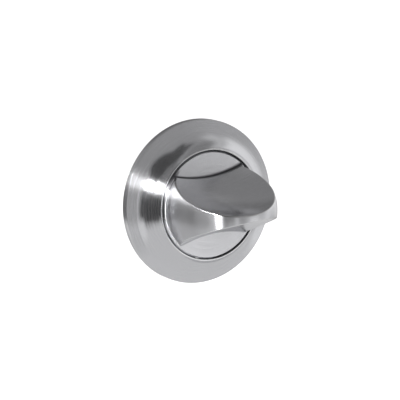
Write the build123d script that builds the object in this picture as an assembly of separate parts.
from build123d import *
import math
import os

# A door's thumb turn: a scooped wing knob in the neck of a round coved rose.
# Millimetres. The origin is the centre of the rose on the door's face.
# +Y goes into the door, -Y comes out of it towards the user, +Z is up.
# Heights are measured out of the door, so a height h lies at y = -h.

# Rose cover: a turned shell
ROSE_R = 26.0           # outer radius of the rose
RIM_STRAIGHT = 1.8      # straight part of the rim's wall
RIM_ROUND = 1.2         # radius of the rim's rounded shoulder
BAND_INNER_R = 23.2     # where the flat outer band ends and the cove starts
BAND_INNER_H = 3.5
NECK_H = 8.85           # height of the neck, level with the disc's floor
NECK_OUTER_R = 17.6
NECK_BORE_R = 17.15     # the hole that the knob's disc turns in
COVER_WALL = 1.3        # wall behind the cove
COVER_INNER_R = 24.2    # inside of the rim's wall

# Knob: one casting, turned to an egg-shaped crown, then cut by two round scoops
DISC_R = 16.9
DISC_BACK_H = 6.6
DISC_BEVEL = 0.5
CROWN_R = 16.5          # the crown's widest radius, so half the wing's span
CROWN_WAIST = 5.6       # the widest place lies this far above the disc's floor
CROWN_RISE = 19.8       # rise of the crown above its widest place
CREST_HALF = 1.15       # half thickness of the wing at its crest
SCOOP_R = 44.8          # radius of the ball-shaped scoops
EDGE_ROUND = 0.4        # rounding of the wing's edges
FOOT_ROUND = 0.4        # hollow rounding where the wing meets the disc's floor
SHANK_R = 6.0
SHANK_END_H = -0.8      # the shank ends a little behind the door's face
RING_GROOVE_R = 5.75
RING_GROOVE_H = 0.5
RING_GROOVE_W = 1.1

# Base plate: a casting with a raised boss and a recess behind
PLATE_R = 23.9
PLATE_T = 1.9
BOSS_R = 15.0
BOSS_H = 5.4
RECESS_R = 10.8
RECESS_H = 3.3
SPIGOT_R = 3.2
SPIGOT_L = 5.0
STOP_R = 12.5           # radius of the stop slot's middle line
STOP_SLOT_W = 3.1
STOP_SLOT_DEPTH = 1.6
TURN_ANGLE = 90.0       # travel of the turn

# Bush, washers and ring on the shank
BUSH_BORE_R = 6.04
BUSH_R = 8.0
BUSH_FLANGE_R = 10.0
BUSH_TOP_H = 6.56
WASHER_R = 10.0
WASHER_T = 0.7
WAVE_MEAN_R = 8.1
WAVE_WIDTH = 2.8
WAVE_T = 0.3
WAVE_RISE = 0.26        # each wave goes this far up and down
WAVE_COUNT = 3

# Spindle and pins
SPINDLE_SIDE = 5.0
SPINDLE_SLACK = 0.03    # gap between spindle and shank on each side
SPINDLE_TOP_H = 13.6
SPINDLE_END_Y = 40.0
CROSS_PIN_R = 1.0
CROSS_PIN_L = 11.6
CROSS_PIN_H = 4.6
STOP_PIN_R = 1.25
STOP_PIN_TOP_H = 9.6
STOP_PIN_TIP_H = 4.1

# Fixings, all on one circle: two free holes for through bolts on the upright,
# and two wood screws on the diagonal
FIXING_R = 19.0
BOLT_HOLE_R = 2.15
BOLT_HEAD_R = 3.7
SCREW_ANGLES = {"upper_right": 45.0, "lower_left": 225.0}
SCREW_CORE_R = 1.2      # the core between the threads
SCREW_HOLE_R = 1.95
SCREW_HEAD_R = 3.4
SCREW_END_Y = 14.2
SCREW_POINT_L = 4.0
SCREW_POINT_R = 0.2
HEAD_TOP_H = 1.85
HEAD_LAND = 0.25        # straight edge round a countersunk head

# Wire ring in the plate's edge
SNAP_WIRE_R = 0.5
SNAP_R = 23.7
SNAP_H = 0.95
SNAP_GROOVE_SLACK = 0.05
SNAP_GAP_DEG = 16.0


def at(r, h):
    """A point of a turned profile: radius r, height h out of the door."""
    return (r, -h)


def turned(outline):
    """Revolve a closed outline, drawn at +X, about the Y axis."""
    return revolve(make_face(outline), Axis.Y)


def ring(r_inner, r_outer, h_low, h_high):
    """A plain turned ring or, with r_inner 0, a disc."""
    corners = [at(r_inner, h_low), at(r_outer, h_low), at(r_outer, h_high), at(r_inner, h_high)]
    return turned(Polyline(*corners, close=True))


def rod_y(r, x, z, y0, y1):
    """A round rod along Y from y0 to y1."""
    plane = Plane(origin=(x, y0, z), x_dir=(1, 0, 0), z_dir=(0, 1, 0))
    return plane * Cylinder(r, y1 - y0, align=(Align.CENTER, Align.CENTER, Align.MIN))


def on_fixing_circle(angle_deg):
    """A point (x, z) of the fixing circle; 0 is to the right and 90 is up."""
    angle = math.radians(angle_deg)
    return FIXING_R * math.cos(angle), FIXING_R * math.sin(angle)


def torus_y(r_ring, r_wire, h):
    """A wire ring about the Y axis at height h."""
    plane = Plane(origin=(0, -h, 0), x_dir=(1, 0, 0), z_dir=(0, 1, 0))
    return plane * Torus(r_ring, r_wire)


def solid_of(shape):
    """The single solid of a result, so that each file holds one plain solid."""
    solids = shape.solids()
    assert len(solids) == 1, len(solids)
    return solids[0]


# Rose cover
def make_rose_cover():
    shoulder = at(ROSE_R - RIM_ROUND, RIM_STRAIGHT + RIM_ROUND)
    band_in = at(BAND_INNER_R, BAND_INNER_H)
    neck_top = at(NECK_OUTER_R, NECK_H)
    rim = Line(at(ROSE_R, 0), at(ROSE_R, RIM_STRAIGHT))
    rim_round = TangentArc(at(ROSE_R, RIM_STRAIGHT), shoulder, tangent=(0, -1))
    band = Line(shoulder, band_in)
    cove = TangentArc(band_in, neck_top, tangent=band % 1)
    lip = Line(neck_top, at(NECK_BORE_R, NECK_H))

    # The inside runs parallel to the cove, one wall further in
    centre = cove.arc_center
    inner_radius = cove.radius + COVER_WALL
    bore_low_h = -centre.Y - math.sqrt(inner_radius ** 2 - (centre.X - NECK_BORE_R) ** 2)
    ceiling_r = BAND_INNER_R + 0.4
    ceiling_h = -centre.Y - math.sqrt(inner_radius ** 2 - (centre.X - ceiling_r) ** 2)
    bore = Line(at(NECK_BORE_R, NECK_H), at(NECK_BORE_R, bore_low_h))
    inner_cove = RadiusArc(at(NECK_BORE_R, bore_low_h), at(ceiling_r, ceiling_h), inner_radius)
    if (inner_cove @ 0.5 - centre).length < inner_radius - 0.01:
        inner_cove = RadiusArc(at(NECK_BORE_R, bore_low_h), at(ceiling_r, ceiling_h), -inner_radius)
    ceiling = Line(at(ceiling_r, ceiling_h), at(COVER_INNER_R, ceiling_h))
    inner_wall = Line(at(COVER_INNER_R, ceiling_h), at(COVER_INNER_R, 0))
    foot = Line(at(COVER_INNER_R, 0), at(ROSE_R, 0))
    shell = turned([rim, rim_round, band, cove, lip, bore, inner_cove, ceiling, inner_wall, foot])

    # Snap groove inside the rim, and a broken edge on the neck
    shell -= torus_y(SNAP_R, SNAP_WIRE_R + SNAP_GROOVE_SLACK, SNAP_H)
    neck_edges = shell.edges().filter_by(GeomType.CIRCLE).group_by(Axis.Y)[0]
    return solid_of(chamfer(neck_edges, 0.12))


# Knob
def make_scoop(side):
    """The ball-shaped cutter above (side 1) or below (side -1) the wing, flat on the disc's floor."""
    crest_h = NECK_H + CROWN_WAIST + CROWN_RISE
    ball = Pos(0, -crest_h, side * (CREST_HALF + SCOOP_R)) * Sphere(SCOOP_R)
    behind = Pos(0, -NECK_H, 0) * Box(200, 100, 200, align=(Align.CENTER, Align.MIN, Align.CENTER))
    return ball - behind


def make_turn_knob():
    waist_h = NECK_H + CROWN_WAIST
    below_waist = math.degrees(math.asin(CROWN_WAIST / CROWN_RISE))
    crown = EllipticalCenterArc(
        (0, -waist_h), CROWN_R, CROWN_RISE, start_angle=270, arc_size=90 + below_waist)
    foot = crown @ 1
    steps = Polyline(
        at(0, SHANK_END_H),
        at(SHANK_R - 0.4, SHANK_END_H),
        at(SHANK_R, SHANK_END_H + 0.4),
        at(SHANK_R, RING_GROOVE_H),
        at(RING_GROOVE_R, RING_GROOVE_H),
        at(RING_GROOVE_R, RING_GROOVE_H + RING_GROOVE_W),
        at(SHANK_R, RING_GROOVE_H + RING_GROOVE_W),
        at(SHANK_R, DISC_BACK_H),
        at(DISC_R, DISC_BACK_H),
        at(DISC_R, NECK_H - DISC_BEVEL),
        at(DISC_R - DISC_BEVEL, NECK_H),
        (foot.X, foot.Y),
    )
    axis = Line(at(0, waist_h + CROWN_RISE), at(0, SHANK_END_H))
    knob = turned([steps, crown, axis])
    for side in (1, -1):
        knob -= make_scoop(side)

    # Round the two long edges of the wing, where the scoops leave the crown
    long_edges = knob.edges().filter_by(lambda e: e.length > 3 * CROWN_R and -(e @ 0.5).Y > waist_h)
    knob = fillet(long_edges, EDGE_ROUND)

    # Hollow corner all round the wing's foot
    on_floor = knob.edges().filter_by(lambda e: abs(-(e @ 0.5).Y - NECK_H) < 0.01)
    inner_r = DISC_R - DISC_BEVEL - 0.1
    foot_edges = on_floor.filter_by(lambda e: math.hypot((e @ 0.5).X, (e @ 0.5).Z) < inner_r)
    knob = fillet(foot_edges, FOOT_ROUND)

    # Square hole, cross hole and stop pin hole
    side = SPINDLE_SIDE + 2 * SPINDLE_SLACK
    hole_top_h = SPINDLE_TOP_H + 0.4
    square = Box(side, hole_top_h + 5, side, align=(Align.CENTER, Align.MIN, Align.CENTER))
    knob -= Pos(0, -hole_top_h, 0) * square
    knob -= Pos(0, -CROSS_PIN_H, 0) * Rot(0, 90, 0) * Cylinder(CROSS_PIN_R, 2 * SHANK_R + 1)
    knob -= rod_y(STOP_PIN_R, STOP_R, 0, -STOP_PIN_TOP_H, 0)
    return solid_of(knob)


# Base plate
def countersink(x, z, hole_r, head_r):
    """A screw hole through the plate with a 90 degree countersink at the front."""
    hole = rod_y(hole_r, x, z, -PLATE_T - 1, SPIGOT_L + 1)
    cone_h = HEAD_TOP_H - HEAD_LAND
    plane = Plane(origin=(x, -cone_h, z), x_dir=(1, 0, 0), z_dir=(0, 1, 0))
    depth = head_r + 0.1 - hole_r
    cone = plane * Cone(head_r + 0.1, hole_r, depth, align=(Align.CENTER, Align.CENTER, Align.MIN))
    mouth = rod_y(head_r + 0.1, x, z, -PLATE_T - 1, -cone_h)
    return hole + cone + mouth


def make_stop_slot():
    """An arc slot in the boss's face, from 0 to the travel angle, with round ends."""
    plane = Plane(origin=(0, -(BOSS_H + 1), 0), x_dir=(1, 0, 0), z_dir=(0, 1, 0))
    # Seen along +Y this plane's y axis points down, so the angles run the other way
    middle = CenterArc((0, 0), STOP_R, 0, -TURN_ANGLE)
    slot = SlotArc(middle, STOP_SLOT_W)
    return extrude(plane * slot, STOP_SLOT_DEPTH + 1)


def make_base_plate():
    plate = turned(Polyline(
        at(RECESS_R, 0),
        at(PLATE_R, 0),
        at(PLATE_R, PLATE_T - 0.4),
        at(PLATE_R - 0.4, PLATE_T),
        at(BOSS_R, PLATE_T),
        at(BOSS_R, BOSS_H - 0.5),
        at(BOSS_R - 0.5, BOSS_H),
        at(BUSH_R, BOSS_H),
        at(BUSH_R, RECESS_H),
        at(RECESS_R, RECESS_H),
        close=True,
    ))
    plate -= torus_y(SNAP_R, SNAP_WIRE_R + SNAP_GROOVE_SLACK, SNAP_H)
    plate -= make_stop_slot()
    for side in (1, -1):
        plate += rod_y(SPIGOT_R, 0, side * FIXING_R, -PLATE_T + 0.4, SPIGOT_L)

    # Cored pockets behind the boss keep the casting's walls even
    for k in range(8):
        angle = math.radians(22.5 + 45 * k)
        pocket = rod_y(1.6, 13.6 * math.cos(angle), 13.6 * math.sin(angle), -2.4, 1)
        plate -= pocket
    for angle in (90, 270):
        plate -= countersink(*on_fixing_circle(angle), BOLT_HOLE_R, BOLT_HEAD_R)
    for angle in SCREW_ANGLES.values():
        plate -= countersink(*on_fixing_circle(angle), SCREW_HOLE_R, SCREW_HEAD_R)
    return solid_of(plate)


def make_snap_ring():
    """A split ring of round wire; its gap is at the bottom."""
    wire = torus_y(SNAP_R, SNAP_WIRE_R, SNAP_H)
    half = math.radians(SNAP_GAP_DEG / 2)
    width = 2 * SNAP_R * math.sin(half)
    gap = Pos(0, 0, -SNAP_R) * Box(width, 6, 8)
    return solid_of(wire - gap)


# Bush, washers and retaining ring
def make_bush():
    return solid_of(turned(Polyline(
        at(BUSH_BORE_R, RECESS_H),
        at(BUSH_R, RECESS_H),
        at(BUSH_R, BOSS_H),
        at(BUSH_FLANGE_R, BOSS_H),
        at(BUSH_FLANGE_R, BUSH_TOP_H),
        at(BUSH_BORE_R + 0.3, BUSH_TOP_H),
        at(BUSH_BORE_R, BUSH_TOP_H - 0.3),
        close=True,
    )))


def wave_section(angle, middle_h):
    """The washer's cross-section at an angle: a thin rectangle that lies along the radius."""
    h = middle_h + WAVE_RISE * math.cos(WAVE_COUNT * angle)
    radial = (math.cos(angle), 0, math.sin(angle))
    along = (-math.sin(angle), 0, math.cos(angle))
    origin = (WAVE_MEAN_R * radial[0], -h, WAVE_MEAN_R * radial[2])
    return Plane(origin=origin, x_dir=radial, z_dir=along) * Rectangle(WAVE_WIDTH, WAVE_T)


def make_wave_washer():
    """A thin ring that rises and falls WAVE_COUNT times round the shank, lofted in two halves."""
    low_h = RING_GROOVE_H + 1.05
    high_h = RECESS_H - WASHER_T - 0.05
    steps = 8 * WAVE_COUNT
    halves = []
    for first in (0, steps // 2):
        angles = [2 * math.pi * k / steps for k in range(first, first + steps // 2 + 1)]
        halves.append(loft([wave_section(a, (low_h + high_h) / 2) for a in angles]))
    return solid_of(halves[0] + halves[1])


def make_retaining_ring():
    """An open ring with two eyes for the pliers; the opening is at the top."""
    body = ring(RING_GROOVE_R, 7.4, RING_GROOVE_H, RING_GROOVE_H + 1.0)
    body -= Pos(0, 0, 6.5) * Box(3.4, 8, 5)
    for side in (1, -1):
        eye = rod_y(1.3, side * 2.9, 7.9, -RING_GROOVE_H - 1.0, -RING_GROOVE_H)
        body += eye
        body -= rod_y(0.6, side * 2.9, 7.9, -RING_GROOVE_H - 1.1, 1)
    return solid_of(body)


# Spindle and pins
def make_spindle():
    length = SPINDLE_TOP_H + SPINDLE_END_Y
    box = Box(SPINDLE_SIDE, length, SPINDLE_SIDE, align=(Align.CENTER, Align.MIN, Align.CENTER))
    bar = Pos(0, -SPINDLE_TOP_H, 0) * box
    tip = bar.faces().sort_by(Axis.Y)[-1]
    bar = chamfer(tip.edges(), 0.6)
    return solid_of(bar - Pos(0, -CROSS_PIN_H, 0) * Rot(0, 90, 0) * Cylinder(CROSS_PIN_R, 10))


def make_spindle_pin():
    """A slotted spring pin along X."""
    tube = Cylinder(CROSS_PIN_R, CROSS_PIN_L) - Cylinder(CROSS_PIN_R - 0.4, CROSS_PIN_L + 1)
    tube -= Pos(CROSS_PIN_R, 0, 0) * Box(1.6, 0.4, CROSS_PIN_L + 1)
    return solid_of(Pos(0, -CROSS_PIN_H, 0) * Rot(0, 90, 0) * tube)


def make_stop_pin():
    pin = rod_y(STOP_PIN_R, STOP_R, 0, -STOP_PIN_TOP_H, -STOP_PIN_TIP_H)
    return solid_of(chamfer(pin.edges().filter_by(GeomType.CIRCLE), 0.2))


# Fixings
def make_cross_recess(x, z, r):
    """Two crossed tapered slots, cut into a screw's head."""
    plane = Plane(origin=(x, -HEAD_TOP_H, z), x_dir=(1, 0, 0), z_dir=(0, 1, 0))
    blade = loft([plane * Rectangle(2 * r, 0.8), plane.offset(1.6) * Rectangle(0.9, 0.5)])
    turned_blade = loft([plane * Rectangle(0.8, 2 * r), plane.offset(1.6) * Rectangle(0.5, 0.9)])
    return blade + turned_blade


def make_wood_screw(angle_deg):
    """A countersunk wood screw along +Y with a cross recess and a plain core."""
    x, z = on_fixing_circle(angle_deg)
    land_h = HEAD_TOP_H - HEAD_LAND
    outline = Polyline(
        at(0, HEAD_TOP_H),
        at(SCREW_HEAD_R, HEAD_TOP_H),
        at(SCREW_HEAD_R, land_h),
        at(SCREW_CORE_R, land_h - (SCREW_HEAD_R - SCREW_CORE_R)),
        at(SCREW_CORE_R, -SCREW_END_Y + SCREW_POINT_L),
        at(SCREW_POINT_R, -SCREW_END_Y),
        at(0, -SCREW_END_Y),
        close=True,
    )
    return solid_of(Pos(x, 0, z) * turned(outline) - make_cross_recess(x, z, 0.55 * SCREW_HEAD_R))


def build_parts():
    """Every node of the thumb turn, by name."""
    wave_top_h = RECESS_H - WASHER_T
    parts = {
        "rose_cover": make_rose_cover(),
        "turn_knob": make_turn_knob(),
        "base_plate": make_base_plate(),
        "cover_snap_ring": make_snap_ring(),
        "shank_bush": make_bush(),
        "plain_washer": solid_of(ring(SHANK_R + 0.3, WASHER_R, wave_top_h, RECESS_H)),
        "wave_washer": make_wave_washer(),
        "retaining_ring": make_retaining_ring(),
        "spindle": make_spindle(),
        "spindle_pin": make_spindle_pin(),
        "stop_pin": make_stop_pin(),
    }
    for place, angle in SCREW_ANGLES.items():
        parts["wood_screw_" + place] = make_wood_screw(angle)
    return parts


os.makedirs("parts", exist_ok=True)
for node, solid in build_parts().items():
    export_step(solid, "parts/" + node + ".step")
    print(node, round(solid.volume, 1), "mm3")
